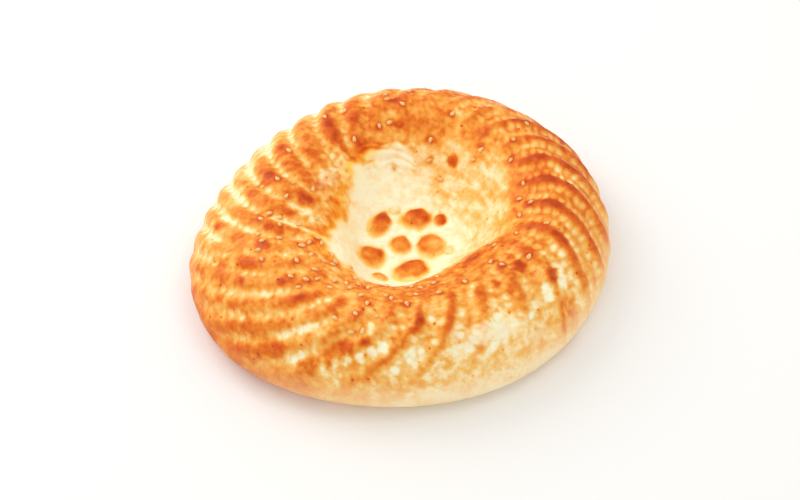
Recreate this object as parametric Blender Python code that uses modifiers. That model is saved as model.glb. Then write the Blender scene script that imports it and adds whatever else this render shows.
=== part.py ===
"""A lepyoshka: a round tandoor flatbread with a thick ridged rim and a stamped, dished middle.

Metres, +Z up. The origin is the middle of the flat underside. Angles count counter-clockwise
seen from above, from +X, and the side at -Y is the one that faces the eater.
"""
import math
import random

import bmesh
import bpy
from mathutils import Matrix, Vector, noise
from mathutils.bvhtree import BVHTree

MM = 0.001

# Driving sizes of the loaf
OUTER_RADIUS = 107.5 * MM
RIM_HEIGHT = 43.0 * MM
CREST_RADIUS = 73.0 * MM
FLOOR_THICKNESS = 9.0 * MM
BASE_RADIUS = 90.0 * MM
BASE_TRIM = 0.6 * MM
OVEN_SPREAD = 0.991

# The section through the loaf, from the middle of its floor over the rim to the base
SECTION = [
    (0.0, FLOOR_THICKNESS),
    (14.0 * MM, FLOOR_THICKNESS + 0.2 * MM),
    (26.0 * MM, FLOOR_THICKNESS + 1.5 * MM),
    (36.0 * MM, 18.0 * MM),
    (46.0 * MM, 30.0 * MM),
    (59.0 * MM, RIM_HEIGHT - 4.0 * MM),
    (CREST_RADIUS, RIM_HEIGHT),
    (88.0 * MM, RIM_HEIGHT - 4.0 * MM),
    (100.0 * MM, 28.5 * MM),
    (OUTER_RADIUS, 15.5 * MM),
    (OUTER_RADIUS - 1.5 * MM, 6.0 * MM),
    (OUTER_RADIUS - 8.5 * MM, 0.7 * MM),
    (BASE_RADIUS, -BASE_TRIM),
]
SECTION_STEPS = 12
TURN_STEPS = 360

# The loaf is hand shaped: its plan is a little oval, three-cornered and four-cornered
PLAN_WAVES = [(2, 0.0434, 21.0), (3, 0.0161, -38.0), (4, 0.0085, 22.0)]
PLAN_REACH = 100.0 * MM

# The hollow is pressed by hand: how far its lip lies from the middle at each 15 degrees, in mm
HOLLOW_OUTLINE = [53.5, 55.0, 56.0, 56.0, 55.0, 52.5, 50.0, 48.0, 45.5, 41.5, 37.0, 35.0,
                  34.5, 35.0, 36.0, 40.0, 43.5, 44.5, 44.3, 41.5, 40.0, 40.5, 43.5, 50.0]
HOLLOW_START = 14.0 * MM
HOLLOW_LIP = 46.0 * MM
LIP_RADIUS = 44.3

# Slow rises and dips of the rim and lumps in the crust
RIM_WAVES = [(1, 1.2 * MM, 250.0), (2, 0.8 * MM, 60.0), (3, 0.6 * MM, 10.0)]
LUMP_HEIGHT = 0.9 * MM
LUMP_WIDTH = 26.0 * MM

# The spiral arms pressed into the rim
ARM_COUNT = 30
ARM_DEPTH = 1.9 * MM
ARM_SHARPNESS = 1.1
ARM_SHARPNESS_WAVES = [(1, 0.5, 340.0)]
ARM_UNEVEN = 0.45
ARM_PATCH = 30.0 * MM
ARM_INNER = 46.0 * MM
ARM_FULL = 61.0 * MM
ARM_FOOT = 7.0 * MM
ARM_SHOULDER = 20.0 * MM
ARM_SHIFT = 9.9
ARM_DRIFT_WAVES = [(1, 1.0, 230.0), (2, 4.8, 111.0), (4, 0.8, 20.0)]
TWIST_START = 60.0 * MM
TWIST_REACH = 45.0 * MM
TWIST_EARLY = 0.36
TWIST_TURN = 22.4
TWIST_WAVES = [(1, 9.9, 204.0), (2, 8.8, 28.0)]

# The raised knobs that the baker's stamp leaves between its pins
# Each has an angle, the radius of its middle, a length round the ring, a length outwards and a height
KNOBS = [(-16.0, 15.3, 16.0, 14.5, 2.9), (60.5, 17.0, 17.0, 14.5, 2.9), (132.0, 17.5, 17.0, 11.5, 2.9),
         (209.0, 19.3, 17.5, 14.5, 2.9), (280.0, 20.0, 20.0, 15.5, 2.9), (243.0, 2.0, 12.0, 11.5, 1.9),
         (33.0, 23.8, 8.5, 7.5, 1.5), (242.0, 27.5, 8.0, 7.0, 1.4), (98.6, 21.6, 6.5, 6.0, 0.8),
         (-16.0, 25.0, 7.0, 6.0, 0.8)]
KNOB_FLAT = 0.66

# Bubbles that rose under the crust: angle, radius, width and height
BUBBLES = [(163.0, 54.0, 11.0, 1.3), (325.0, 86.0, 13.0, 1.2), (49.0, 51.0, 6.0, 0.7), (290.0, 88.0, 12.0, 0.8),
           (92.0, 76.0, 10.0, 0.8), (111.0, 54.0, 9.0, 0.7), (318.0, 74.0, 8.0, 0.7), (253.0, 90.0, 11.0, 0.8)]

BREAD_TRIANGLES = 7600

# Sesame seeds baked into the crust
SEED_LENGTH = 3.3 * MM
SEED_WIDTH = 2.1 * MM
SEED_THICKNESS = 1.5 * MM
SEED_COUNT = 72
SEED_SIDES = 6
SEED_RINGS = 4
SEED_GAP = 5.0 * MM
SEED_INNER = 38.0 * MM
SEED_OUTER = 92.0 * MM
SEED_SOWN_AT = 62.0 * MM
SEED_PROUD = 0.15 * MM
SEED_DRIFTS = [(225.0, 62.0, 1.0), (100.0, 24.0, 0.7), (5.0, 40.0, 0.25)]
SEED_SPRINKLE = 0.22
SEED_RANDOM = 11


def smooth_step(low, high, value):
    """0 below low, 1 above high, and an even curve between."""
    part = min(max((value - low) / (high - low), 0.0), 1.0)
    return part * part * (3.0 - 2.0 * part)


def wave_sum(waves, angle):
    """Sum of cosines round the loaf, each given by its count, size and peak in degrees."""
    return sum(size * math.cos(count * (angle - math.radians(peak))) for count, size, peak in waves)


def clear_scene():
    for thing in list(bpy.data.objects):
        bpy.data.objects.remove(thing, do_unlink=True)


def new_collection(name):
    group = bpy.data.collections.new(name)
    bpy.context.scene.collection.children.link(group)
    return group


def crust_material():
    material = bpy.data.materials.new("crust")
    material.use_nodes = True
    shader = material.node_tree.nodes["Principled BSDF"]
    shader.inputs["Base Color"].default_value = (0.78, 0.36, 0.10, 1.0)
    shader.inputs["Roughness"].default_value = 0.55
    shader.inputs["Metallic"].default_value = 0.0
    material.diffuse_color = (0.78, 0.36, 0.10, 1.0)
    return material


def section_curve(stations, steps):
    """Points on one smooth curve through the stations (Catmull-Rom)."""
    padded = [stations[0]] + stations + [stations[-1]]
    points = []
    for before, start, end, after in zip(padded, padded[1:], padded[2:], padded[3:]):
        for step in range(steps):
            t = step / steps
            points.append(tuple(
                0.5 * (2.0 * b + (c - a) * t + (2.0 * a - 5.0 * b + 4.0 * c - d) * t * t
                       + (3.0 * b - a - 3.0 * c + d) * t * t * t)
                for a, b, c, d in zip(before, start, end, after)))
    points.append(stations[-1])
    return points


def turned_loaf(group):
    """The plain loaf, turned from its section."""
    points = section_curve(SECTION, SECTION_STEPS) + [(0.0, -BASE_TRIM)]
    profile = bpy.data.meshes.new("section")
    edges = [(index, index + 1) for index in range(len(points) - 1)]
    profile.from_pydata([(radius, 0.0, height) for radius, height in points], edges, [])
    turned = bpy.data.objects.new("turned_loaf", profile)
    group.objects.link(turned)
    screw = turned.modifiers.new("turn", "SCREW")
    screw.axis = "Z"
    screw.angle = math.tau
    screw.steps = TURN_STEPS
    screw.render_steps = TURN_STEPS
    screw.use_merge_vertices = True
    screw.merge_threshold = 0.00001
    bpy.context.view_layer.update()
    mesh = bpy.data.meshes.new_from_object(turned.evaluated_get(bpy.context.evaluated_depsgraph_get()))
    bpy.data.objects.remove(turned, do_unlink=True)
    return mesh


def plan_scale(radius, angle):
    """How far the hand-shaped plan stands out from a circle."""
    return OVEN_SPREAD * (1.0 + wave_sum(PLAN_WAVES, angle) * min(radius / PLAN_REACH, 1.0) ** 2)


def hollow_outline(angle):
    """The hollow's outline at this angle, on one smooth closed curve through its table."""
    count = len(HOLLOW_OUTLINE)
    place = angle / math.tau * count
    start = math.floor(place)
    t = place - start
    a, b, c, d = (HOLLOW_OUTLINE[(start + step) % count] for step in (-1, 0, 1, 2))
    return 0.5 * (2.0 * b + (c - a) * t + (2.0 * a - 5.0 * b + 4.0 * c - d) * t * t
                  + (3.0 * b - a - 3.0 * c + d) * t * t * t)


def hollow_push(radius, angle):
    """How far the slope of the hollow is pushed outwards at this place."""
    inner = smooth_step(HOLLOW_START, HOLLOW_LIP, radius)
    outer = 1.0 - smooth_step(HOLLOW_LIP, OUTER_RADIUS, radius)
    return (hollow_outline(angle) - LIP_RADIUS) * MM * inner * outer


def rim_rise(radius, angle):
    """Slow unevenness of the rim's height."""
    return wave_sum(RIM_WAVES, angle) * smooth_step(HOLLOW_START, CREST_RADIUS, radius)


def arm_phase(radius, angle):
    """Turns of the ridge pattern at this place: a whole number on each furrow."""
    reach = (radius - TWIST_START) / TWIST_REACH
    bend = TWIST_EARLY * reach + (1.0 - TWIST_EARLY) * reach * reach
    twist = (TWIST_TURN + wave_sum(TWIST_WAVES, angle)) * bend
    drift = ARM_SHIFT + wave_sum(ARM_DRIFT_WAVES, angle)
    return ARM_COUNT * (math.degrees(angle) + twist + drift) / 360.0


def arm_relief(radius, angle, place):
    """Ridges between pressed furrows, broad on one side of the loaf and thin on the other."""
    across = 0.5 - 0.5 * math.cos(math.tau * arm_phase(radius + hollow_push(radius, angle), angle))
    back = across ** (ARM_SHARPNESS + wave_sum(ARM_SHARPNESS_WAVES, angle))
    fade = smooth_step(ARM_INNER, ARM_FULL, radius)
    fade *= smooth_step(ARM_FOOT, ARM_SHOULDER, place.z)
    pressed = 1.0 + ARM_UNEVEN * noise.noise(place / ARM_PATCH)
    return ARM_DEPTH * pressed * (back - 1.0) * fade


def dome(distance):
    """A cushion with a domed top and steep sides: 1 in the middle, 0 from the edge outwards."""
    return smooth_step(1.0, KNOB_FLAT, distance) * (1.0 - 0.25 * min(distance, 1.0) ** 2)


def knob_relief(x, y):
    """Height of the stamped knobs over the floor of the hollow."""
    height = 0.0
    for angle, radius, along, out, rise in KNOBS:
        turn = math.radians(angle)
        outwards = (x * math.cos(turn) + y * math.sin(turn)) / MM - radius
        sideways = (y * math.cos(turn) - x * math.sin(turn)) / MM
        height = max(height, rise * MM * dome(math.hypot(2.0 * sideways / along, 2.0 * outwards / out)))
    return height


def bubble_relief(x, y):
    """Height of the crust's bubbles."""
    height = 0.0
    for angle, radius, width, rise in BUBBLES:
        turn = math.radians(angle)
        gap = math.hypot(x - radius * MM * math.cos(turn), y - radius * MM * math.sin(turn))
        height += rise * MM * (1.0 - smooth_step(0.0, width * MM / 2, gap))
    return height


def shape_loaf(mesh):
    """Moves the turned loaf's points to the hand-shaped, ridged and stamped form."""
    polar = []
    for vertex in mesh.vertices:
        x, y, z = vertex.co
        radius = math.hypot(x, y)
        angle = math.atan2(y, x)
        wide = (radius + hollow_push(radius, angle)) * plan_scale(radius, angle)
        share = max(z, 0.0) / RIM_HEIGHT
        vertex.co = (wide * math.cos(angle), wide * math.sin(angle), z + rim_rise(radius, angle) * share)
        polar.append((radius, angle))
    mesh.update()
    places = []
    for vertex, (radius, angle) in zip(mesh.vertices, polar):
        place = vertex.co.copy()
        rise = LUMP_HEIGHT * noise.noise(place / LUMP_WIDTH) * smooth_step(0.0, ARM_SHOULDER, place.z)
        if place.z > 0.0:
            rise += arm_relief(radius, angle, place) + bubble_relief(place.x, place.y)
            rise += knob_relief(place.x, place.y) * (1.0 - smooth_step(HOLLOW_LIP, ARM_FULL, radius))
        places.append(place + vertex.normal * rise)
    for vertex, place in zip(mesh.vertices, places):
        vertex.co = place


def flat_based(mesh):
    """Cuts the loaf off flat at the height where it stands, and closes the cut with one face."""
    shape = bmesh.new()
    shape.from_mesh(mesh)
    everything = shape.verts[:] + shape.edges[:] + shape.faces[:]
    cut = bmesh.ops.bisect_plane(shape, geom=everything, plane_co=(0.0, 0.0, 0.0), plane_no=(0.0, 0.0, -1.0),
                                 clear_outer=True, dist=0.0000001)
    rim = [item for item in cut["geom_cut"] if isinstance(item, bmesh.types.BMEdge)]
    bmesh.ops.holes_fill(shape, edges=rim)
    bmesh.ops.recalc_face_normals(shape, faces=shape.faces)
    shape.to_mesh(mesh)
    shape.free()
    return mesh


def reduced(mesh, group, triangles):
    """The same form with fewer triangles, kept where the surface bends."""
    rough = bpy.data.objects.new("rough_loaf", mesh)
    group.objects.link(rough)
    fewer = rough.modifiers.new("fewer", "DECIMATE")
    mesh.calc_loop_triangles()
    fewer.ratio = triangles / len(mesh.loop_triangles)
    fewer.use_collapse_triangulate = True
    bpy.context.view_layer.update()
    result = bpy.data.meshes.new_from_object(rough.evaluated_get(bpy.context.evaluated_depsgraph_get()))
    bpy.data.objects.remove(rough, do_unlink=True)
    return result


def centred(mesh):
    """Slides the loaf so that the middle of its box is over the origin."""
    along_x = [vertex.co.x for vertex in mesh.vertices]
    along_y = [vertex.co.y for vertex in mesh.vertices]
    middle = Vector((min(along_x) + max(along_x), min(along_y) + max(along_y), 0.0)) / 2
    mesh.transform(Matrix.Translation(-middle))
    return mesh


def seed_density(angle):
    """How thickly the seeds were sown at this angle, from 0 to about 1."""
    degrees = math.degrees(angle) % 360.0
    sown = SEED_SPRINKLE
    for middle, width, share in SEED_DRIFTS:
        away = abs((degrees - middle + 180.0) % 360.0 - 180.0)
        sown += share * math.exp(-(away / width) ** 2)
    return sown


def seed_places(surface):
    """Points on the crust for the seeds, with the crust's outward direction and a lie."""
    draw = random.Random(SEED_RANDOM)
    places = []
    while len(places) < SEED_COUNT:
        angle = draw.uniform(0.0, math.tau)
        radius = draw.triangular(SEED_INNER, SEED_OUTER, SEED_SOWN_AT)
        lie = draw.uniform(0.0, math.tau)
        if draw.random() > seed_density(angle):
            continue
        above = Vector((radius * math.cos(angle), radius * math.sin(angle), 2.0 * RIM_HEIGHT))
        point, outwards, _, _ = surface.ray_cast(above, Vector((0.0, 0.0, -1.0)))
        if all((point - other).length > SEED_GAP for other, _, _ in places):
            places.append((point, outwards, lie))
    return places


def sow_seeds(bread, group):
    """One low seed at each place, half sunk in the crust."""
    surface = BVHTree.FromPolygons([vertex.co for vertex in bread.data.vertices],
                                   [polygon.vertices for polygon in bread.data.polygons])
    seed_mesh = bpy.data.meshes.new("seed")
    shape = bmesh.new()
    bmesh.ops.create_uvsphere(shape, u_segments=SEED_SIDES, v_segments=SEED_RINGS, radius=0.5)
    bmesh.ops.rotate(shape, verts=shape.verts, matrix=Matrix.Rotation(math.pi / 2, 3, "Y"))
    bmesh.ops.scale(shape, verts=shape.verts, vec=(SEED_LENGTH, SEED_WIDTH, SEED_THICKNESS))
    shape.to_mesh(seed_mesh)
    shape.free()
    for index, (point, outwards, lie) in enumerate(seed_places(surface)):
        seed = bpy.data.objects.new(f"seed_{index:02d}", seed_mesh)
        turn = outwards.to_track_quat("Z", "Y") @ Matrix.Rotation(lie, 3, "Z").to_quaternion()
        seed.matrix_world = Matrix.Translation(point + outwards * SEED_PROUD) @ turn.to_matrix().to_4x4()
        group.objects.link(seed)


def fuse(bread, group):
    """Joins everything in the group to the bread as one closed solid."""
    union = bread.modifiers.new("fuse", "BOOLEAN")
    union.operation = "UNION"
    union.operand_type = "COLLECTION"
    union.collection = group
    union.solver = "EXACT"
    bpy.context.view_layer.update()
    fused = bpy.data.meshes.new_from_object(bread.evaluated_get(bpy.context.evaluated_depsgraph_get()))
    bread.modifiers.clear()
    bread.data = fused
    for thing in list(group.objects):
        bpy.data.objects.remove(thing, do_unlink=True)
    bpy.data.collections.remove(group)


def bake_bread():
    clear_scene()
    loaf_group = new_collection("lepyoshka")
    seed_group = new_collection("seeds")
    mesh = turned_loaf(loaf_group)
    shape_loaf(mesh)
    mesh = centred(flat_based(reduced(mesh, loaf_group, BREAD_TRIANGLES)))
    bread = bpy.data.objects.new("lepyoshka", mesh)
    loaf_group.objects.link(bread)
    sow_seeds(bread, seed_group)
    fuse(bread, seed_group)
    bread.data.name = "lepyoshka"
    bread.data.materials.clear()
    bread.data.materials.append(crust_material())
    bread.data.shade_smooth()


bake_bread()
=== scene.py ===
"""Lepyoshka: a round tandoor flatbread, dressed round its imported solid.

Laid out as an add-on: each operator makes one part of the picture, and main runs them in order.
"""
import math
import random

import bpy
import numpy as np
from mathutils import Matrix, Vector, noise
from mathutils.bvhtree import BVHTree


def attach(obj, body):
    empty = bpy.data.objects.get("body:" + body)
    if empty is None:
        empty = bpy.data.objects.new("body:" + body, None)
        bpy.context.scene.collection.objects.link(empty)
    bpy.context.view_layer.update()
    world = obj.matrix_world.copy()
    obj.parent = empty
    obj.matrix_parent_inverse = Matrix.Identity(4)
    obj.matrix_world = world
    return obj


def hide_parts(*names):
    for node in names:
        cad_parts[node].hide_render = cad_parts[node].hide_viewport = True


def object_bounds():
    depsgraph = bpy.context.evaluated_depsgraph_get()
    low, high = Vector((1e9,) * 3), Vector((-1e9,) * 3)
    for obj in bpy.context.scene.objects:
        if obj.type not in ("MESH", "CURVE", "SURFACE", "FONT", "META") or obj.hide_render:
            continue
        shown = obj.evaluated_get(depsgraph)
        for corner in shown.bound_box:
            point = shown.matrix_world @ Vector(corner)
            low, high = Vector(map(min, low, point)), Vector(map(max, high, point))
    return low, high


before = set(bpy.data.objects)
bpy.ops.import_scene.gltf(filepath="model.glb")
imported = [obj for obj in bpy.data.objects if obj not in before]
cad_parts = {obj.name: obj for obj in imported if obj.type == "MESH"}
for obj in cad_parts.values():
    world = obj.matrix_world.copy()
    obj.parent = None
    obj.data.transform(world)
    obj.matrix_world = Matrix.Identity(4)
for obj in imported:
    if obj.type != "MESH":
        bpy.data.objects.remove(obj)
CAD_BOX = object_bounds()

bl_info = {
    "name": "Tandoor Lepyoshka",
    "version": (1, 0, 0),
    "blender": (4, 5, 0),
    "location": "View3D > Sidebar > Bakery",
    "description": "Bakes a ridged and stamped flatbread with sesame, and lights it for a product picture",
    "category": "Object",
}

MM = 0.001
BREAD_NODE = "lepyoshka"
BREAD_BODY = "root"

# The loaf's section, as in the solid: radius and height, from the middle over the rim to the base
OUTER_RADIUS = 107.5 * MM
RIM_HEIGHT = 43.0 * MM
CREST_RADIUS = 73.0 * MM
FLOOR_THICKNESS = 9.0 * MM
BASE_RADIUS = 90.0 * MM
BASE_TRIM = 0.6 * MM
OVEN_SPREAD = 0.991
SECTION = [
    (0.0, FLOOR_THICKNESS),
    (14.0 * MM, FLOOR_THICKNESS + 0.2 * MM),
    (26.0 * MM, FLOOR_THICKNESS + 1.5 * MM),
    (36.0 * MM, 18.0 * MM),
    (46.0 * MM, 30.0 * MM),
    (59.0 * MM, RIM_HEIGHT - 4.0 * MM),
    (CREST_RADIUS, RIM_HEIGHT),
    (88.0 * MM, RIM_HEIGHT - 4.0 * MM),
    (100.0 * MM, 28.5 * MM),
    (OUTER_RADIUS, 15.5 * MM),
    (OUTER_RADIUS - 1.5 * MM, 6.0 * MM),
    (OUTER_RADIUS - 8.5 * MM, 0.7 * MM),
    (BASE_RADIUS, -BASE_TRIM),
]
ROW_SPACING = 0.92 * MM
COLUMNS = 540

# Smallest step and area between the points that still count, so that nothing is divided by zero
SMALLEST_STEP = 1e-6
SMALLEST_AREA = 1e-12

# The plan, the off-centre hollow and the rim's slow unevenness: waves of count, size and peak
PLAN_WAVES = [(2, 0.0434, 21.0), (3, 0.0161, -38.0), (4, 0.0085, 22.0)]
PLAN_REACH = 100.0 * MM
HOLLOW_OUTLINE = [53.5, 55.0, 56.0, 56.0, 55.0, 52.5, 50.0, 48.0, 45.5, 41.5, 37.0, 35.0,
                  34.5, 35.0, 36.0, 40.0, 43.5, 44.5, 44.3, 41.5, 40.0, 40.5, 43.5, 50.0]
HOLLOW_START = 14.0 * MM
HOLLOW_LIP = 46.0 * MM
LIP_RADIUS = 44.3
RIM_WAVES = [(1, 1.2 * MM, 250.0), (2, 0.8 * MM, 60.0), (3, 0.6 * MM, 10.0)]
LUMP_HEIGHT = 0.9 * MM

# The spiral arms pressed into the rim
ARM_COUNT = 30
ARM_DEPTH = 1.9 * MM
ARM_SHARPNESS = 1.1
ARM_SHARPNESS_WAVES = [(1, 0.5, 340.0)]
ARM_UNEVEN = 0.45
ARM_START = [63.0, 68.0, 70.0, 66.0, 50.0, 47.0, 46.0, 56.0, 68.0, 68.0, 66.0, 62.0]
ARM_GROWTH = 16.0
ARM_FOOT = 7.0 * MM
ARM_SHOULDER = 20.0 * MM
ARM_SHIFT = 9.9
ARM_DRIFT_WAVES = [(1, 1.0, 230.0), (2, 4.8, 111.0), (4, 0.8, 20.0)]
TWIST_START = 60.0 * MM
TWIST_REACH = 45.0 * MM
TWIST_EARLY = 0.36
TWIST_TURN = 22.4
TWIST_WAVES = [(1, 9.9, 204.0), (2, 8.8, 28.0)]

# The stamp's knobs: angle, radius, length round the ring, length outwards, height, browning,
# turn of the oval and the way its darker side faces
KNOBS = [
    (-10.0, 14.9, 17.0, 15.5, 2.9, 0.66, 0.0, 150.0),
    (63.4, 18.7, 17.5, 15.0, 2.9, 0.94, 10.0, 60.0),
    (129.1, 18.6, 17.5, 11.5, 2.9, 0.84, 30.0, 40.0),
    (203.7, 18.4, 16.0, 14.5, 2.9, 0.86, 0.0, 60.0),
    (280.6, 18.8, 20.5, 16.0, 2.9, 0.86, 0.0, 90.0),
    (196.0, 1.5, 13.0, 11.5, 1.9, 0.72, 0.0, 45.0),
    (35.2, 25.3, 8.0, 8.5, 1.5, 0.88, 0.0, 0.0),
    (240.7, 26.4, 8.5, 7.0, 1.4, 0.52, 0.0, 90.0),
    (98.0, 23.2, 7.0, 6.0, 0.8, 0.28, 0.0, 60.0),
    (-14.7, 24.8, 7.0, 6.0, 0.8, 0.26, 0.0, 60.0),
]
KNOB_FLAT = 0.48
KNOB_FOOT = 1.06
KNOB_DOMING = 0.25
KNOB_END = 61.0 * MM
KNOB_WOBBLE = 0.20
KNOB_CRUST = (1.08, 0.66)
KNOB_NEAR_TONE = 0.70
KNOB_FAR_TONE = 0.32
KNOB_SHADING = 0.5
KNOB_MOTTLE = 0.20
KNOB_RING = 0.98
KNOB_RING_WIDTH = 0.17
KNOB_RING_LOSS = 0.5

# Bubbles under the crust: angle, radius, width and height
BUBBLES = [
    (163.0, 54.0, 11.0, 1.3), (325.0, 86.0, 13.0, 1.2), (49.0, 51.0, 6.0, 0.7), (290.0, 88.0, 12.0, 0.8),
    (92.0, 76.0, 10.0, 0.8), (111.0, 54.0, 9.0, 0.7), (318.0, 74.0, 8.0, 0.7), (253.0, 90.0, 11.0, 0.8),
]

# Pits left by the pricking comb along each furrow
PIT_PITCH = 4.9 * MM
PIT_LENGTH = 2.05 * MM
PIT_WIDTH = 2.15 * MM
PIT_DEPTH = 0.8 * MM
DOUBLE_ROW_MIDDLE = -22.0
DOUBLE_ROW_HALF_WIDTH = 82.0
DOUBLE_ROW_FADE = 16.0
DOUBLE_ROW_OFFSET = 0.21
PIT_WAVER = 14.0 * MM
PIT_SLIP = 1.6
PIT_SIZE_SPREAD = 0.8
PIT_FAINTNESS = 0.75

# Fixed scatter of the pits: which draw sets each one's start, slip and faintness, and the sum behind it
START_DRAW = 1.0
SLIP_DRAW = 3.0
FAINT_DRAW = 5.0
SCATTER_FACTORS = (12.9898, 78.233, 37.719)
SCATTER_SPREAD = 43758.5453

# How firmly the arms were pressed: its mean, its swing and its limits, and the side left smooth
PRESSING_MEAN = 0.62
PRESSING_SWING = 1.7
PRESSING_LIMITS = (0.08, 1.15)
PRESSING_EVEN = 0.9
SMOOTH_SIDE_ANGLES = (305.0, 18.0, 18.0)
SMOOTH_SIDE_RADII = (91.0, 99.0)

# Roughness of the dough, and the share of it that is left at the loaf's foot
ROUGH_FINE = 0.22 * MM
ROUGH_BROAD = 0.3 * MM
ROUGH_AT_FOOT = 0.35

# Unevenness of the dough and of the bake: the width of its lumps, and a number that sets it apart
NOISES = {
    "lumps": (26.0 * MM, 0.0),
    "arm depth": (30.0 * MM, 0.0),
    "pressing": (15.0 * MM, 27.0),
    "pit lines": (7.0 * MM, 21.0),
    "fine roughness": (3.2 * MM, 0.0),
    "broad roughness": (8.0 * MM, 5.0),
    "wrinkle bends": (7.0 * MM, 71.0),
    "knob outlines": (5.5 * MM, 14.0),
    "knob mottle": (5.0 * MM, 17.0),
    "patches": (20.0 * MM, 3.0),
    "blotches": (9.0 * MM, 9.0),
    "flecks": (4.0 * MM, 33.0),
    "specks": (2.2 * MM, 41.0),
}
MOTTLES = ("patches", "blotches", "flecks", "specks")

# How the crust browned, as tables of equal steps round the loaf from +X
PALE_EDGE = [58.0, 59.0, 63.0, 62.0, 60.0, 53.5, 51.5, 51.0, 47.0, 40.5, 35.5, 33.0,
             34.5, 41.5, 44.5, 44.5, 44.0, 43.0, 42.0, 41.0, 42.0, 43.0, 46.0, 54.0]
PALE_EDGE_SOFTNESS = [6.0, 6.5, 8.0, 7.5, 5.5, 6.5, 5.0, 4.2, 2.5, 2.5, 3.0, 5.0]
RIM_BROWNING = [0.67, 0.64, 0.55, 0.64, 0.61, 0.61, 0.57, 0.54, 0.54, 0.58, 0.57, 0.63]
# OUTER_BROWNING is lower at 120 to 150 degrees and at 300 degrees partly as painted light: glare on the back
# left's outer slope, and a lift of the shaded front right
OUTER_BROWNING = [0.67, 0.69, 0.60, 0.50, 0.36, 0.32, 0.44, 0.58, 0.54, 0.46, 0.31, 0.50]
SIDE_BROWNING = [0.43, 0.46, 0.46, 0.42, 0.34, 0.36, 0.62, 0.74, 0.48, 0.22, 0.18, 0.29]
# SIDE_DUST: flour on the loaf's side, heaviest on the shaded front, where it is partly painted light
SIDE_DUST = [0.70, 0.60, 0.60, 0.60, 0.60, 0.50, 0.30, 0.05, 0.45, 1.00, 1.00, 0.90]
FURROW_PALENESS = [0.60, 0.45, 0.20, 0.20, 0.72, 0.85, 0.70, 0.34, 0.35, 0.45, 0.50, 0.60]
PIT_DEPTHS = [0.95, 0.90, 0.60, 0.40, 1.00, 1.05, 0.90, 0.80, 1.00, 1.05, 1.00, 1.00]
PRESSING_EVENNESS = [0.80, 0.75, 0.30, 0.10, 0.65, 0.65, 0.40, 0.25, 0.40, 0.55, 0.50, 0.70]
PIT_UNEVENNESS = [0.05, 0.05, 0.08, 0.10, 0.04, 0.04, 0.05, 0.08, 0.13, 0.18, 0.18, 0.09]
PIT_PALENESS = [0.37, 0.37, 0.30, 0.24, 0.30, 0.29, 0.31, 0.35, 0.36, 0.40, 0.38, 0.34]
ARM_RELIEF = [1.00, 0.95, 0.70, 0.60, 0.95, 0.90, 0.75, 0.60, 0.65, 0.85, 0.80, 0.95]
RIDGE_BROWNING = [0.74, 0.68, 0.32, 0.16, 0.28, 0.30, 0.30, 0.30, 0.50, 0.64, 0.45, 0.62]
PIT_SIZES = [1.08, 1.08, 1.00, 0.92, 1.00, 1.00, 1.08, 1.20, 1.24, 1.28, 1.25, 1.14]
PIT_SCATTER = [0.30, 0.30, 0.40, 0.40, 0.40, 0.40, 0.45, 0.50, 0.80, 1.00, 1.00, 0.55]

# Mottling of the browning: shares of the patches, blotches, flecks and specks
RIM_MOTTLE = (0.09, 0.13, 0.17, 0.15)
SIDE_MOTTLE = (0.08, 0.08, 0.04)

# Parts of the loaf: middle angle, half width and fade in degrees, and two radii in mm, or two heights
CALM_ANGLES = (300.0, 40.0, 25.0)
CALM_RADII = (84.0, 94.0)
CALM_SHARE = 0.55
FRONT_SLOPE_ANGLES = (265.0, 60.0, 25.0)
FRONT_SLOPE_RADII = (82.0, 66.0)
OUTER_RADII = (76.0, 90.0)
SIDE_HEIGHTS = (10.0 * MM, 27.0 * MM)
SIDE_RADII = (88.0, 98.0)
EDGE_BLOTCH = 3.0
EDGE_FLECK = 1.2

# Browning of the ridges and paleness of the furrows: how strong, and how wide from the middle line
RIDGE_DARKER = 0.34
RIDGE_SHARE = 0.25
NARROW_RIDGE = 2.7 * MM
BROAD_RIDGE = 3.6 * MM
FURROW_PALER = 0.22
FURROW_HALF_WIDTH = 3.0 * MM

# Fine streaks drawn round the loaf by the hand: count, width in mm and a number that sets them apart
RIM_STREAKS = (9.0, 1.7, 51.0)
RIM_STREAKING = 0.04
FRONT_STREAKING = 0.14
FLOOR_SMEARS = (4.5, 2.4, 61.0)
FINE_FLOOR_SMEARS = (8.0, 1.1, 67.0)
FINE_SMEAR_SHARE = 0.5

# Browning of the hollow's floor: everywhere, and how much more near its right wall
RIGHT_FLOOR_ANGLES = (8.0, 45.0, 50.0)
RIGHT_FLOOR_RADII = (24.0, 38.0)
FLOOR_TONE = (0.03, 0.24)
FLOOR_MOTTLE = (0.03, 0.045)
FLOOR_SMEAR = (0.03, 0.10)
FLOOR_FLECK = 0.8
FLOOR_SPECK = 0.03

# Yellow glaze: in a line along the pale edge, mostly at the left, and its shares elsewhere
GLAZE_LINE = 0.8
GLAZE_WIDTH = 3.8
GLAZE_SHARE = 0.25
GLAZED_WALL_ANGLES = (165.0, 55.0, 25.0)
GLAZED_FURROW_ANGLES = (155.0, 40.0, 30.0)
KNOB_GLAZE = 0.9
SEAM_GLAZE = 0.5
FURROW_GLAZE = 0.26

# Edges of the marks: raggedness from flecks and specks, and the gaps at which a mark starts and is full,
# then how much wider and weaker than its listed size and strength a soft mark is laid
STREAK_EDGE = (0.35, 0.25, 1.1, 0.3)
SPOT_EDGE = (0.35, 0.2, 1.05, 0.35)
SEAM_EDGE = (0.3, 0.15, 1.25, 0.2)
SHEEN_EDGE = (0.5, 0.3, 1.2, 0.4)
MARK_SPREAD = 1.3
MARK_STRENGTH = 0.8

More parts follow.
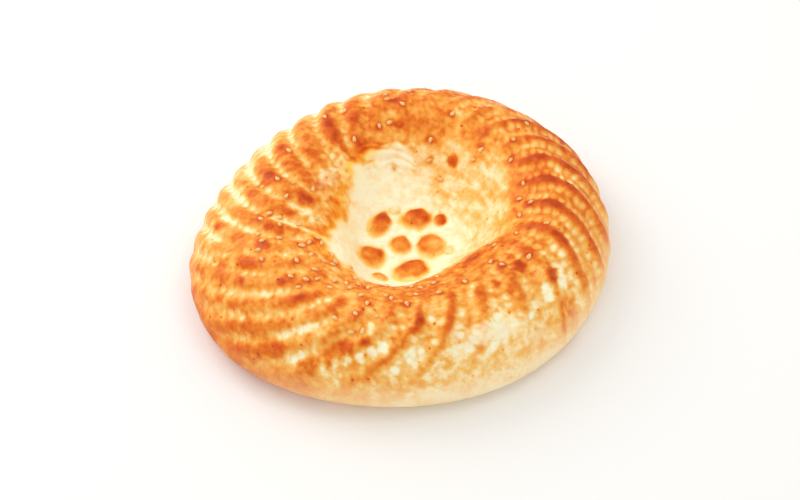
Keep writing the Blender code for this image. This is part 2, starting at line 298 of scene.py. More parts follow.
# Darker and paler streaks along the arms: angle, radius, length outwards, width and strength
DARK_STREAKS = [
    (252.0, 89.5, 9.0, 5.5, 0.40), (243.0, 99.0, 12.0, 3.0, 0.18), (267.5, 91.0, 14.0, 3.0, 0.12),
    (274.5, 78.5, 8.0, 5.0, 0.34), (281.0, 91.0, 12.0, 3.4, 0.10), (286.0, 79.0, 11.0, 5.0, 0.30),
    (290.0, 67.0, 12.0, 3.6, 0.24), (296.0, 86.0, 12.0, 3.6, 0.10), (309.5, 81.0, 9.0, 3.4, 0.20),
    (321.0, 100.0, 11.0, 4.0, 0.36), (229.0, 78.0, 13.0, 6.0, 0.22), (203.0, 84.0, 12.0, 6.5, 0.24),
    (341.0, 83.0, 18.0, 6.0, 0.18), (333.0, 99.0, 12.0, 4.0, 0.10), (348.0, 97.0, 12.0, 5.0, 0.12),
    (355.0, 80.0, 18.0, 7.5, 0.20), (4.0, 87.0, 16.0, 6.0, 0.14), (9.5, 77.0, 9.0, 7.0, 0.22),
    (15.0, 92.0, 14.0, 6.0, 0.20), (22.0, 77.0, 11.0, 6.5, 0.22), (40.0, 88.0, 14.0, 5.0, 0.14),
]
PALE_STREAKS = [
    (326.0, 85.0, 18.0, 6.0, 0.22), (257.5, 84.0, 14.0, 6.5, 0.15), (263.5, 91.0, 12.0, 5.0, 0.13),
    (246.0, 86.0, 14.0, 4.0, 0.12), (236.0, 91.0, 16.0, 4.5, 0.10), (224.0, 92.0, 16.0, 4.5, 0.08),
    (272.0, 93.0, 13.0, 4.5, 0.15), (279.0, 96.0, 10.0, 4.5, 0.16), (290.0, 91.0, 15.0, 7.0, 0.20),
    # The pale streak at 331 degrees beside the blister at 326 degrees is a painted highlight
    (298.0, 90.0, 15.0, 8.0, 0.20), (303.0, 78.0, 13.0, 5.0, 0.22), (331.0, 90.0, 12.0, 3.6, 0.32),
    (189.0, 97.0, 12.0, 5.0, 0.16), (203.0, 100.0, 10.0, 4.0, 0.14),
]

# Painted sheen: pale spots laid in place of the milk glaze's shine, a painted highlight: angle, radius,
# length round the loaf, length outwards and share
SHEEN_SPOTS = [
    (292.0, 88.0, 15.0, 10.0, 0.75), (301.0, 90.0, 9.0, 9.0, 0.65), (286.0, 86.0, 7.0, 8.0, 0.45),
    (97.0, 48.0, 20.0, 6.0, 0.55), (146.0, 46.0, 18.0, 8.0, 0.35), (132.0, 44.0, 8.0, 8.0, 0.30),
    (310.0, 99.0, 18.0, 8.0, 0.45),
]
# Flour dust on the loaf's side, its mean share and swing; it is partly painted light, lifting the shaded
# lower side
DUST_MEAN = 0.75
DUST_SWING = 0.25

# Pale seams where the dough tore as it rose: angle, radius, length, width, paleness and turn
PALE_SEAMS = [
    (180.5, 45.6, 28.0, 8.5, 0.38, 60.1), (189.9, 54.6, 40.0, 3.6, 0.42, 59.0),
    (126.0, 49.0, 5.0, 20.0, 0.40, 0.0), (137.0, 50.0, 5.0, 18.0, 0.28, 0.0),
]

# Wrinkles at the back of the hollow: middle angle, half width and fade, then start, full, last and end radius
WRINKLE_ANGLES = (97.0, 14.0, 10.0)
WRINKLE_RADII = (41.0, 45.0, 52.0, 56.0)
WRINKLE_PITCH = 3.4
WRINKLE_BEND = 0.9
WRINKLE_HEIGHT = 0.28 * MM
# Paler crests and darker troughs of the wrinkles: a painted highlight and painted shade
WRINKLE_PAINTED_LIGHT = 0.13

# Darker and paler spots: angle, radius, length round the loaf, length outwards and strength
BROWN_SPOTS = [
    (90.8, 76.0, 8.0, 6.0, 0.46), (89.0, 61.0, 6.0, 3.5, 0.36), (160.0, 72.0, 6.0, 6.0, 0.42),
    (170.2, 50.4, 11.0, 9.0, 0.26), (168.0, 49.0, 4.0, 7.0, 0.10), (110.0, 68.0, 7.0, 6.0, 0.22),
    (111.0, 54.0, 6.0, 9.0, 0.26), (122.0, 66.0, 6.0, 12.0, 0.14), (55.5, 52.4, 6.5, 5.0, 0.62),
    (48.0, 69.0, 7.0, 7.0, 0.26), (69.0, 50.0, 3.0, 2.0, 0.30), (203.0, 84.0, 7.0, 8.0, 0.22),
    (229.0, 78.0, 5.0, 11.0, 0.20), (244.0, 70.0, 6.0, 8.0, 0.26), (190.0, 68.0, 5.0, 6.0, 0.32),
    (193.0, 63.0, 6.0, 5.0, 0.30), (144.0, 77.0, 6.0, 7.0, 0.26), (170.0, 78.0, 7.0, 6.0, 0.24),
    (189.7, 83.0, 6.0, 5.0, 0.24), (199.6, 73.0, 6.0, 4.0, 0.32), (194.0, 90.0, 3.5, 3.5, 0.30),
    (182.0, 95.0, 5.0, 4.0, 0.26), (178.0, 87.0, 6.0, 5.0, 0.20), (149.0, 62.0, 6.0, 6.0, 0.26),
    (155.5, 46.0, 7.0, 6.0, 0.20), (208.0, 91.0, 4.5, 3.5, 0.36), (219.0, 77.5, 4.5, 4.0, 0.36),
    (198.0, 97.0, 7.0, 5.0, 0.22), (121.0, 70.0, 7.0, 8.0, 0.20), (123.3, 60.0, 7.0, 8.0, 0.20),
    (265.0, 75.0, 4.0, 6.0, 0.24), (322.0, 71.8, 9.0, 8.0, 0.62), (318.0, 47.0, 12.0, 6.0, 0.46),
    (326.4, 87.2, 11.0, 6.5, 0.72), (324.0, 101.0, 8.0, 12.0, 0.34), (335.0, 62.0, 8.0, 4.0, 0.20),
    (300.0, 70.0, 5.0, 4.0, 0.20), (309.0, 70.0, 5.0, 5.0, 0.18), (343.0, 66.0, 6.0, 5.0, 0.18),
    (181.0, 58.0, 6.0, 6.0, 0.22), (12.0, 99.0, 6.0, 8.0, 0.22), (150.0, 83.0, 8.0, 5.0, 0.18),
    (195.0, 100.0, 8.0, 7.0, 0.14), (225.0, 103.0, 14.0, 6.0, 0.16), (1.0, 73.0, 34.0, 9.0, 0.14),
    (22.0, 75.0, 32.0, 10.0, 0.11), (349.0, 72.0, 14.0, 8.0, 0.14), (251.6, 90.6, 7.0, 5.0, 0.26),
    (256.2, 86.6, 7.0, 5.0, 0.32), (230.0, 101.0, 13.0, 7.0, 0.20),
]
PALE_SPOTS = [
    # The pale spots at 321.8 and 329 degrees round the blister at 326 degrees are a painted highlight on its
    # rim
    (329.0, 101.0, 18.0, 9.0, 0.20), (321.8, 90.8, 9.0, 7.5, 0.28), (148.0, 44.0, 26.0, 12.0, 0.20),
    (124.0, 45.0, 14.0, 10.0, 0.20), (302.0, 92.0, 26.0, 14.0, 0.08), (275.0, 96.0, 20.0, 6.0, 0.08),
    (238.0, 88.0, 16.0, 8.0, 0.12), (216.0, 88.0, 12.0, 6.0, 0.08), (62.0, 72.0, 6.0, 6.0, 0.14),
    (102.0, 48.0, 16.0, 5.0, 0.26), (93.0, 56.0, 22.0, 8.0, 0.12), (37.0, 64.0, 14.0, 8.0, 0.15),
    (307.0, 80.0, 16.0, 7.0, 0.16), (322.0, 97.0, 20.0, 8.0, 0.14), (329.0, 93.0, 8.0, 7.0, 0.26),
    (280.6, 28.4, 30.0, 6.0, 0.45), (244.8, 98.0, 4.2, 4.2, 0.38), (248.3, 96.2, 4.2, 4.2, 0.38),
    (251.8, 94.4, 4.2, 4.2, 0.38), (255.2, 92.4, 4.2, 4.2, 0.38), (258.6, 90.2, 4.4, 4.2, 0.42),
    (262.0, 87.6, 4.4, 4.4, 0.42),
]

# How far the crust has browned where it takes each of its colours, and the tone of the underside
BAKING_STEPS = {"dough": 0.0, "cream": 0.18, "gold": 0.34, "amber": 0.52, "chestnut": 0.68, "brown": 0.84,
                "scorched": 1.0}
UNDERSIDE_BROWNING = 0.45
UNDERSIDE_DUST = 1.0

# The crust's fine patterns: scale, detail and roughness, and how far each turns the tone
CRUST_BLOTCHES = (170.0, 3.0, 0.55)
CRUST_MOTTLE = (520.0, 2.0, 0.6)
CRUST_GRAIN = (1400.0, 3.0, 0.6)
PATTERN_RANGE = (0.25, 0.75)
BLOTCH_TONE = 0.12
MOTTLE_TONE = 0.06
GRAIN_STRENGTH = 0.35
GRAIN_DEPTH = 0.3 * MM
SHINE_RANGE = (0.3, 0.7)
CRUST_ROUGHNESS = (0.36, 0.56)
SEED_GRAIN = 260.0
BOARD_GRAIN = 6.0
BOARD_ROUGHNESS = (0.85, 0.95)

# Dark bran dots: scale, size, tone, which of them show, and how they fade on pale dough
BRAN_SCALE = 270.0
BRAN_SIZE = (0.10, 0.26)
BRAN_TONE = 0.38
BRAN_SHOWN = (0.72, 0.85)
BRAN_BAKED = (0.1, 0.4)
BRAN_ON_PALE = 0.35
# How far the flour dust and the painted sheen cover the crust's colour
DUST_AND_SHEEN_COVER = 0.75


def linear(code, alpha=1.0):
    """An sRGB hex colour as linear red, green, blue and alpha."""
    values = [int(code[start:start + 2], 16) / 255.0 for start in (0, 2, 4)]
    straight = [value / 12.92 if value <= 0.04045 else ((value + 0.055) / 1.055) ** 2.4 for value in values]
    return (*straight, alpha)


def smooth_step(low, high, value):
    """0 at low, 1 at high, and an even curve between."""
    part = np.clip((value - low) / (high - low), 0.0, 1.0)
    return part * part * (3.0 - 2.0 * part)


def wave_sum(waves, angle):
    """Sum of cosines round the loaf, each given by its count, size and peak in degrees."""
    return sum(size * np.cos(count * (angle - math.radians(peak))) for count, size, peak in waves)


def smooth_between(a, b, c, d, t):
    """A smooth curve from b to c as t goes from 0 to 1, in line with a and d before and after it."""
    return 0.5 * (2.0 * b + (c - a) * t + (2.0 * a - 5.0 * b + 4.0 * c - d) * t * t
                  + (3.0 * b - a - 3.0 * c + d) * t ** 3)


def round_table(values, angle):
    """A smooth closed curve through a table of values at equal steps round the loaf."""
    table = np.array(values)
    place = angle / math.tau * len(table)
    start = np.floor(place).astype(int)
    nearby = (table[(start + step) % len(table)] for step in (-1, 0, 1, 2))
    return smooth_between(*nearby, place - start)


def near_angle(angle, middle, half_width, fade):
    """1 within half_width degrees of the middle angle, falling to 0 over the fade."""
    away = np.abs((np.degrees(angle) - middle + 180.0) % 360.0 - 180.0)
    return smooth_step(half_width + fade, half_width, away)


def noise_field(points, width, seed=0.0):
    """Smooth noise of about -1 to 1 at each point, with lumps of the given width."""
    shift = Vector((seed, 2.0 * seed, -seed))
    values = [noise.noise(Vector(point) + shift) for point in points.reshape(-1, 3) / width]
    return np.array(values).reshape(points.shape[:-1])


def scatter_value(*whole):
    """A fixed number of 0 to 1 for each set of whole numbers."""
    mixed = sum(np.asarray(value) * factor for value, factor in zip(whole, SCATTER_FACTORS))
    return np.modf(np.abs(np.sin(mixed) * SCATTER_SPREAD))[0]


def section_curve():
    """Closely spaced points on one smooth curve through the section's stations."""
    padded = [SECTION[0]] + SECTION + [SECTION[-1]]
    points = []
    for before, start, end, after in zip(padded, padded[1:], padded[2:], padded[3:]):
        steps = max(int(math.dist(start, end) / ROW_SPACING), 2)
        for step in range(steps):
            t = step / steps
            points.append([smooth_between(*nearby, t) for nearby in zip(before, start, end, after)])
    points.append(list(SECTION[-1]))
    return np.array(points)


def plan_scale(radius, angle):
    """How far the hand-shaped plan stands out from a circle."""
    return OVEN_SPREAD * (1.0 + wave_sum(PLAN_WAVES, angle) * np.minimum(radius / PLAN_REACH, 1.0) ** 2)


def hollow_push(radius, angle):
    """How far the slope of the hollow is pushed outwards at each place."""
    inner = smooth_step(HOLLOW_START, HOLLOW_LIP, radius)
    outer = 1.0 - smooth_step(HOLLOW_LIP, OUTER_RADIUS, radius)
    return (round_table(HOLLOW_OUTLINE, angle) - LIP_RADIUS) * MM * inner * outer


def arm_phase(radius, angle):
    """Turns of the ridge pattern at each place: a whole number on each furrow."""
    reach = (radius - TWIST_START) / TWIST_REACH
    bend = TWIST_EARLY * reach + (1.0 - TWIST_EARLY) * reach * reach
    twist = (TWIST_TURN + wave_sum(TWIST_WAVES, angle)) * bend
    drift = ARM_SHIFT + wave_sum(ARM_DRIFT_WAVES, angle)
    return ARM_COUNT * (np.degrees(angle) + twist + drift) / 360.0


def dome(distance):
    """A cushion with a domed top and steep sides: 1 in the middle, 0 from the edge outwards."""
    return smooth_step(KNOB_FOOT, KNOB_FLAT, distance) * (1.0 - KNOB_DOMING * np.minimum(distance, 1.0) ** 2)


class Crust:
    """The loaf's surface as a grid, rows outwards and columns round, with its relief and browning."""

    def __init__(self):
        """Sweeps the section round the plan, then presses, pricks, raises and browns the crust."""
        section = section_curve()
        columns = np.arange(COLUMNS) / COLUMNS * math.tau
        self.radius, self.angle = np.meshgrid(section[:, 0], columns, indexing="ij")
        height = np.repeat(section[:, 1:], COLUMNS, axis=1)
        self.plan_radius = self.radius + hollow_push(self.radius, self.angle)
        wide = self.plan_radius * plan_scale(self.radius, self.angle)
        share = np.maximum(height, 0.0) / RIM_HEIGHT
        rise = wave_sum(RIM_WAVES, self.angle) * smooth_step(HOLLOW_START, CREST_RADIUS, self.radius)
        x = wide * np.cos(self.angle)
        y = wide * np.sin(self.angle)
        self.smooth = np.stack([x, y, height + rise * share], axis=-1)
        self.reach = np.hypot(x, y) / MM
        self.top = smooth_step(ARM_FOOT, ARM_SHOULDER, self.smooth[..., 2])
        self.outwards = self.surface_normals()
        self.find_arms()
        self.press_arms()
        self.prick_pits()
        self.wrinkle = self.wrinkles()
        self.lay_relief()
        self.lay_browning()

    def surface_normals(self):
        """The outward direction of the smooth loaf at each point."""
        around = np.roll(self.smooth, -1, axis=1) - np.roll(self.smooth, 1, axis=1)
        outward = np.gradient(self.smooth, axis=0)
        normal = np.cross(outward, around)
        normal[0] = (0.0, 0.0, 1.0)
        return normal / np.maximum(np.linalg.norm(normal, axis=-1, keepdims=True), SMALLEST_AREA)

    def unevenness(self, name):
        """One of the named kinds of unevenness, of about -1 to 1, over the smooth loaf."""
        return noise_field(self.smooth, *NOISES[name])

    def streaks(self, count, width, seed):
        """Fine noise drawn out round the loaf, as the dough was smoothed by hand."""
        around = (count * np.cos(self.angle), count * np.sin(self.angle))
        return noise_field(np.stack([*around, self.reach / width], axis=-1), 1.0, seed)

    def region(self, angles, radii):
        """1 inside a part of the loaf, given by its angles and two radii, and 0 outside it."""
        return near_angle(self.angle, *angles) * smooth_step(*radii, self.reach)

    def find_arms(self):
        """Where each point lies across and along the pressed arms."""
        self.phase = arm_phase(self.plan_radius, self.angle)
        furrow = np.round(self.phase)
        self.across = self.phase - furrow
        self.furrow_number = furrow % ARM_COUNT
        next_phase = arm_phase(self.plan_radius, self.angle + math.tau / COLUMNS)
        row_step = np.linalg.norm(np.gradient(self.smooth, axis=0), axis=-1)
        ring_step = np.linalg.norm(np.roll(self.smooth, -1, axis=1) - self.smooth, axis=-1)
        slope_out = np.gradient(self.phase, axis=0) / np.maximum(row_step, SMALLEST_STEP)
        slope_round = (next_phase - self.phase) / np.maximum(ring_step, SMALLEST_STEP)
        steepest = np.hypot(slope_out, slope_round)
        self.arm_width = 1.0 / np.maximum(steepest, 1.0)
        lean = np.sqrt(1.0 + (slope_out / slope_round) ** 2)
        past_furrow = self.across * slope_out / (slope_round * steepest)
        self.along = np.cumsum(row_step * lean, axis=0) - past_furrow

    def press_arms(self):
        """How firmly the arms were pressed at each place, and where their furrows hold two rows of pits."""
        start = round_table(ARM_START, self.angle)
        grown = smooth_step(start - ARM_GROWTH / 2, start + ARM_GROWTH / 2, self.plan_radius / MM)
        self.on_rim = grown * self.top
        patchy = np.clip(PRESSING_MEAN + PRESSING_SWING * self.unevenness("pressing"), *PRESSING_LIMITS)
        evenness = round_table(PRESSING_EVENNESS, self.angle)
        self.pressing = self.on_rim * (patchy + (PRESSING_EVEN - patchy) * evenness)
        self.pressing *= 1.0 - self.region(SMOOTH_SIDE_ANGLES, SMOOTH_SIDE_RADII)
        self.double = near_angle(self.angle, DOUBLE_ROW_MIDDLE, DOUBLE_ROW_HALF_WIDTH, DOUBLE_ROW_FADE)

    def row_of_pits(self, offset, stagger, wobble):
        """Dents at an even pitch along a line beside each furrow's middle: 1 in a dent's middle."""
        number = self.furrow_number + stagger
        uneven = round_table(PIT_UNEVENNESS, self.angle)
        spread = round_table(PIT_SCATTER, self.angle)
        start = scatter_value(number, START_DRAW)
        place = (self.along + PIT_WAVER * uneven * wobble) / PIT_PITCH + start + 0.5 * stagger
        index = np.round(place)
        size_spread = 1.0 + spread * PIT_SIZE_SPREAD * (scatter_value(number, index) - 0.5)
        size = round_table(PIT_SIZES, self.angle) * size_spread
        strength = 1.0 - PIT_FAINTNESS * spread * scatter_value(number, index, FAINT_DRAW)
        slip = PIT_SLIP * uneven * (scatter_value(index, number, SLIP_DRAW) - 0.5)
        along = (place - index) * PIT_PITCH / (PIT_LENGTH * size)
        across = (self.across - offset + slip + uneven * wobble) * self.arm_width / (PIT_WIDTH * size)
        return strength * np.exp(-(along ** 2 + across ** 2) ** 2)

    def prick_pits(self):
        """The pits, in one row along each furrow, or in two rows where the furrows are wide."""
        wobble = self.unevenness("pit lines")
        pits = (1.0 - self.double) * self.row_of_pits(0.0, 0, wobble)
        for stagger, side in enumerate((-1, 1)):
            pits = np.maximum(pits, self.double * self.row_of_pits(side * DOUBLE_ROW_OFFSET, stagger, wobble))
        self.pits = pits * self.pressing * round_table(PIT_DEPTHS, self.angle)

    def wrinkles(self):
        """Fine ridges round the back of the hollow, from -1 to 1."""
        start, full, last, end = WRINKLE_RADII
        inside = smooth_step(start, full, self.reach) * smooth_step(end, last, self.reach)
        bent = self.reach / WRINKLE_PITCH + WRINKLE_BEND * self.unevenness("wrinkle bends")
        return near_angle(self.angle, *WRINKLE_ANGLES) * inside * np.sin(math.tau * bent)

    def lay_relief(self):
        """Raises the ridges, knobs, bubbles and wrinkles on the smooth loaf, and sinks the pits."""
        height = self.smooth[..., 2]
        ridge = 0.5 - 0.5 * np.cos(math.tau * self.across)
        ridge = ridge ** (ARM_SHARPNESS + wave_sum(ARM_SHARPNESS_WAVES, self.angle))
        pressed = 1.0 + ARM_UNEVEN * self.unevenness("arm depth")
        depth = ARM_DEPTH * round_table(ARM_RELIEF, self.angle) * pressed
        lump = LUMP_HEIGHT * self.unevenness("lumps") * smooth_step(0.0, ARM_SHOULDER, height)
        rise = lump + depth * (ridge - 1.0) * self.on_rim - PIT_DEPTH * self.pits
        rise += self.raise_knobs() * (1.0 - smooth_step(HOLLOW_LIP, KNOB_END, self.radius))
        for angle, radius, width, high in BUBBLES:
            rise += high * MM * (1.0 - smooth_step(0.0, 1.0, self.gap_to(angle, radius, width, width)))
        rise += WRINKLE_HEIGHT * self.wrinkle
        rough = ROUGH_FINE * self.unevenness("fine roughness")
        rough += ROUGH_BROAD * self.unevenness("broad roughness")
        rise += rough * (ROUGH_AT_FOOT + (1.0 - ROUGH_AT_FOOT) * self.top)
        rise[height <= 0.0] = 0.0
        self.points = self.smooth + self.outwards * rise[..., None]

    def from_spot(self, angle, radius):
        """How far each point lies from a spot's middle along +X and +Y, in mm."""
        x = self.smooth[..., 0] / MM - radius * math.cos(math.radians(angle))
        y = self.smooth[..., 1] / MM - radius * math.sin(math.radians(angle))
        return x, y

    def gap_to(self, angle, radius, along, out, turn=0.0):
        """Distance from a spot's middle, as 1 on the edge of an oval of the given lengths in mm."""
        x, y = self.from_spot(angle, radius)
        lie = math.radians(angle + turn)
        outwards = x * math.cos(lie) + y * math.sin(lie)
        sideways = y * math.cos(lie) - x * math.sin(lie)
        return np.hypot(2.0 * sideways / along, 2.0 * outwards / out)

    def gap_along_arm(self, angle, radius, length, width):
        """Distance from a streak's middle, as 1 on its edge, for a streak that bends with the arms."""
        middle = arm_phase(radius * MM, math.radians(angle))
        turns = (self.phase - middle + ARM_COUNT / 2) % ARM_COUNT - ARM_COUNT / 2
        return np.hypot(2.0 * turns * self.arm_width / (width * MM), 2.0 * (self.reach - radius) / length)

    def raise_knobs(self):
        """The knobs' relief, and with it their browning and their golden edges."""
        wobble = KNOB_WOBBLE * self.unevenness("knob outlines")
        mottle = KNOB_MOTTLE * self.unevenness("knob mottle")
        height = np.zeros_like(self.radius)
        self.knob = np.zeros_like(self.radius)
        self.knob_brown = np.zeros_like(self.radius)
        self.knob_edge = np.zeros_like(self.radius)
        for angle, radius, along, out, high, brown, turn, darker_side in KNOBS:
            gap = self.gap_to(angle, radius, along, out, turn) + wobble
            height = np.maximum(height, high * MM * dome(gap))
            # Each knob is darker towards one side, and its golden ring is weaker there
            x, y = self.from_spot(angle, radius)
            facing = math.radians(darker_side)
            past = (x * math.cos(facing) + y * math.sin(facing)) / out
            far_side = smooth_step(-KNOB_SHADING, KNOB_SHADING, past)
            tone = brown * (KNOB_NEAR_TONE + KNOB_FAR_TONE * far_side) + mottle
            inside = smooth_step(*KNOB_CRUST, gap)
            self.knob_brown = np.where(inside > self.knob, tone, self.knob_brown)
            self.knob = np.maximum(self.knob, inside)
            golden = np.exp(-((gap - KNOB_RING) / KNOB_RING_WIDTH) ** 2) * (1.0 - KNOB_RING_LOSS * far_side)
            self.knob_edge = np.maximum(self.knob_edge, golden)
        return height

    def mottling(self, shares):
        """Unevenness of the browning, with a share each for patches, blotches, flecks and specks."""
        fields = (self.patch, self.blotch, self.fleck, self.speck)
        return sum(share * field for share, field in zip(shares, fields))

    def mark(self, gap, edge):
        """1 in a mark's middle and 0 past its ragged edge."""
        flecks, specks, start, full = edge
        return smooth_step(start, full, gap + flecks * self.fleck + specks * self.speck)

    def rim_browning(self):
        """Crust of the rim: browner along the ridges, and paler in the furrows and the pits."""
        outer = smooth_step(*OUTER_RADII, self.reach)
        rim = round_table(RIM_BROWNING, self.angle) * (1.0 - outer)
        rim += round_table(OUTER_BROWNING, self.angle) * outer
        rim += (1.0 - CALM_SHARE * self.region(CALM_ANGLES, CALM_RADII)) * self.mottling(RIM_MOTTLE)
        front_slope = self.region(FRONT_SLOPE_ANGLES, FRONT_SLOPE_RADII)
        rim += (RIM_STREAKING + FRONT_STREAKING * front_slope) * self.streaks(*RIM_STREAKS)
        from_crest = (0.5 - np.abs(self.across)) * self.arm_width
        narrow = np.exp(-(from_crest / NARROW_RIDGE) ** 2)
        broad = np.exp(-(from_crest / BROAD_RIDGE) ** 2)
        crest = self.double * narrow + (1.0 - self.double) * broad
        rim += RIDGE_DARKER * round_table(RIDGE_BROWNING, self.angle) * self.pressing * (crest - RIDGE_SHARE)
        self.valley = np.exp(-(self.across * self.arm_width / FURROW_HALF_WIDTH) ** 2) * (1.0 - self.double)
        rim -= FURROW_PALER * round_table(FURROW_PALENESS, self.angle) * self.pressing * self.valley
        return rim - round_table(PIT_PALENESS, self.angle) * self.pits

    def floor_browning(self):
        """Pale dough of the hollow, browner and more smeared near its right wall."""
        right = self.region(RIGHT_FLOOR_ANGLES, RIGHT_FLOOR_RADII)
        tone, mottled, smeared = (everywhere + more * right
                                  for everywhere, more in (FLOOR_TONE, FLOOR_MOTTLE, FLOOR_SMEAR))
        smear = self.streaks(*FLOOR_SMEARS) + FINE_SMEAR_SHARE * self.streaks(*FINE_FLOOR_SMEARS)
        mottle = mottled * (self.blotch + FLOOR_FLECK * self.fleck) + FLOOR_SPECK * self.speck
        return tone + mottle + smeared * smear

    def marks(self):
        """Darker and paler spots, and streaks along the arms."""
        total = np.zeros_like(self.radius)
        for shade, streaks, spots in ((1.0, DARK_STREAKS, BROWN_SPOTS), (-1.0, PALE_STREAKS, PALE_SPOTS)):
            for angle, radius, length, width, strength in streaks:
                gap = self.gap_along_arm(angle, radius, MARK_SPREAD * length, MARK_SPREAD * width)
                total += shade * MARK_STRENGTH * strength * self.mark(gap, STREAK_EDGE)
            for angle, radius, along, out, strength in spots:
                gap = self.gap_to(angle, radius, MARK_SPREAD * along, MARK_SPREAD * out)
                total += shade * MARK_STRENGTH * strength * self.mark(gap, SPOT_EDGE)
        return total

    def seams(self):
        """How pale the torn seams are."""
        paleness = np.zeros_like(self.radius)
        for angle, radius, length, width, strength, turn in PALE_SEAMS:
            gap = self.gap_to(angle, radius, length, width, turn)
            paleness = np.maximum(paleness, strength * self.mark(gap, SEAM_EDGE))
        return paleness

    def dust_and_sheen(self, side):
        """Share of flour on the loaf's side, partly painted light that lifts its shaded lower part, and of
        painted sheen, a painted highlight, on its front and in the hollow.
        """
        sown = np.clip(round_table(SIDE_DUST, self.angle), 0.0, 1.0)
        dusty = side * (DUST_MEAN + DUST_SWING * self.patch) * sown
        for angle, radius, along, out, share in SHEEN_SPOTS:
            dusty = np.maximum(dusty, share * self.mark(self.gap_to(angle, radius, along, out), SHEEN_EDGE))
        return dusty

    def glaze(self, from_edge, seam):
        """Where the glaze pooled: along the pale edge, round the knobs, in seams and in the left furrows."""
        at_left = GLAZE_SHARE + (1.0 - GLAZE_SHARE) * near_angle(self.angle, *GLAZED_WALL_ANGLES)
        line = np.exp(-((from_edge - GLAZE_LINE) / GLAZE_WIDTH) ** 2) * at_left
        furrows = near_angle(self.angle, *GLAZED_FURROW_ANGLES) * self.pressing * self.valley
        pooled = line + KNOB_GLAZE * self.knob_edge + SEAM_GLAZE * seam + FURROW_GLAZE * furrows
        return np.clip(pooled, 0.0, 1.0)

    def lay_browning(self):
        """How far each place has browned, from 0, pale dough, to 1, scorched, and its glaze and dust."""
        self.patch, self.blotch, self.fleck, self.speck = (self.unevenness(name) for name in MOTTLES)
        softness = round_table(PALE_EDGE_SOFTNESS, self.angle)
        ragged = EDGE_BLOTCH * self.blotch + EDGE_FLECK * self.fleck
        from_edge = self.reach + ragged - round_table(PALE_EDGE, self.angle)
        baked = smooth_step(-softness, softness, from_edge)
        brown = self.rim_browning() * baked + self.floor_browning() * (1.0 - baked)
        # Painted highlight on the wrinkles' crests and painted shade in their troughs
        brown -= WRINKLE_PAINTED_LIGHT * self.wrinkle
        low = 1.0 - smooth_step(*SIDE_HEIGHTS, self.smooth[..., 2])
        side = low * smooth_step(*SIDE_RADII, self.reach)
        tan = round_table(SIDE_BROWNING, self.angle) + self.mottling(SIDE_MOTTLE)
        brown = brown * (1.0 - side) + tan * side
        brown = brown * (1.0 - self.knob) + self.knob_brown * self.knob
        seam = self.seams() * baked
        self.browning = np.clip(brown + self.marks() - seam, 0.0, 1.0)
        self.butter = self.glaze(from_edge, seam)
        self.dusty = self.dust_and_sheen(side)


def bread_mesh(crust):
    """The crust as a closed mesh that stands on its flat base: quads, with a fan at the top and one below."""
    points = crust.points[1:].reshape(-1, 3)
    index = np.arange(len(points)).reshape(-1, COLUMNS)
    inner = index[:-1]
    outer = index[1:]
    quads = np.stack([inner, outer, np.roll(outer, -1, axis=1), np.roll(inner, -1, axis=1)], axis=-1)
    top = len(points)
    fan = [(top, int(start), int(end)) for start, end in zip(index[0], np.roll(index[0], -1))]
    base = [(top + 1, int(end), int(start)) for start, end in zip(index[-1], np.roll(index[-1], -1))]
    middle = crust.points[0].mean(axis=0)
    everything = np.vstack([points, middle, np.zeros(3)])
    everything[:, 2] = np.maximum(everything[:, 2], 0.0)
    mesh = bpy.data.meshes.new("crust")
    mesh.from_pydata(everything.tolist(), [], quads.reshape(-1, 4).tolist() + fan + base)
    layers = (("browning", crust.browning, UNDERSIDE_BROWNING), ("butter", crust.butter, 0.0),
              ("dusty", crust.dusty, UNDERSIDE_DUST))
    for name, field, underside in layers:
        layer = mesh.attributes.new(name, "FLOAT", "POINT")
        values = np.concatenate([field[1:].ravel(), [field[0].mean(), underside]])
        layer.data.foreach_set("value", values.astype(np.float32))
    mesh.polygons.foreach_set("use_smooth", [True] * len(mesh.polygons))
    mesh.validate()
    return mesh


def settle_in_box(mesh, box):
    """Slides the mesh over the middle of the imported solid, and trims it to the solid's box."""
    places = np.empty(len(mesh.vertices) * 3)
    mesh.vertices.foreach_get("co", places)
    places = places.reshape(-1, 3)
    low = places.min(axis=0)
    high = places.max(axis=0)
    box_low = np.array(box[0])
    box_high = np.array(box[1])
    shift = (box_low + box_high - low - high) / 2
    shift[2] = 0.0
    share = np.minimum((box_high - box_low) / (high - low), 1.0)
    places = (places + shift) * share
    mesh.vertices.foreach_set("co", places.ravel())
    mesh.update()


def add_node(tree, kind, settings=None, links=None):
    """Adds a node, sets its properties or sockets, and links other nodes' outputs to its sockets."""
    made = tree.nodes.new(kind)
    for name, value in (settings or {}).items():
        if name in made.inputs:
            made.inputs[name].default_value = value
        else:
            setattr(made, name, value)
    for name, source in (links or {}).items():
        tree.links.new(source, made.inputs[name])
    return made


def new_material(name):
    """An empty material, and the node tree to fill."""
    material = bpy.data.materials.new(name)
    material.use_nodes = True
    tree = material.node_tree
    tree.nodes.clear()
    return material, tree


def grain(tree, place, scale, detail=2.0, roughness=0.5):
    """Fine noise over the object."""
    settings = {"Scale": scale, "Detail": detail, "Roughness": roughness}
    return add_node(tree, "ShaderNodeTexNoise", settings, {"Vector": place}).outputs["Fac"]


def stretch(tree, source, old, new):
    """A value moved from its old range to a new one."""
    settings = {"From Min": old[0], "From Max": old[1], "To Min": new[0], "To Max": new[1]}
    return add_node(tree, "ShaderNodeMapRange", settings, {"Value": source}).outputs["Result"]


def baked_in(tree, name):
    """A value that the mesh carries at each point."""
    return add_node(tree, "ShaderNodeAttribute", {"attribute_name": name}).outputs["Fac"]


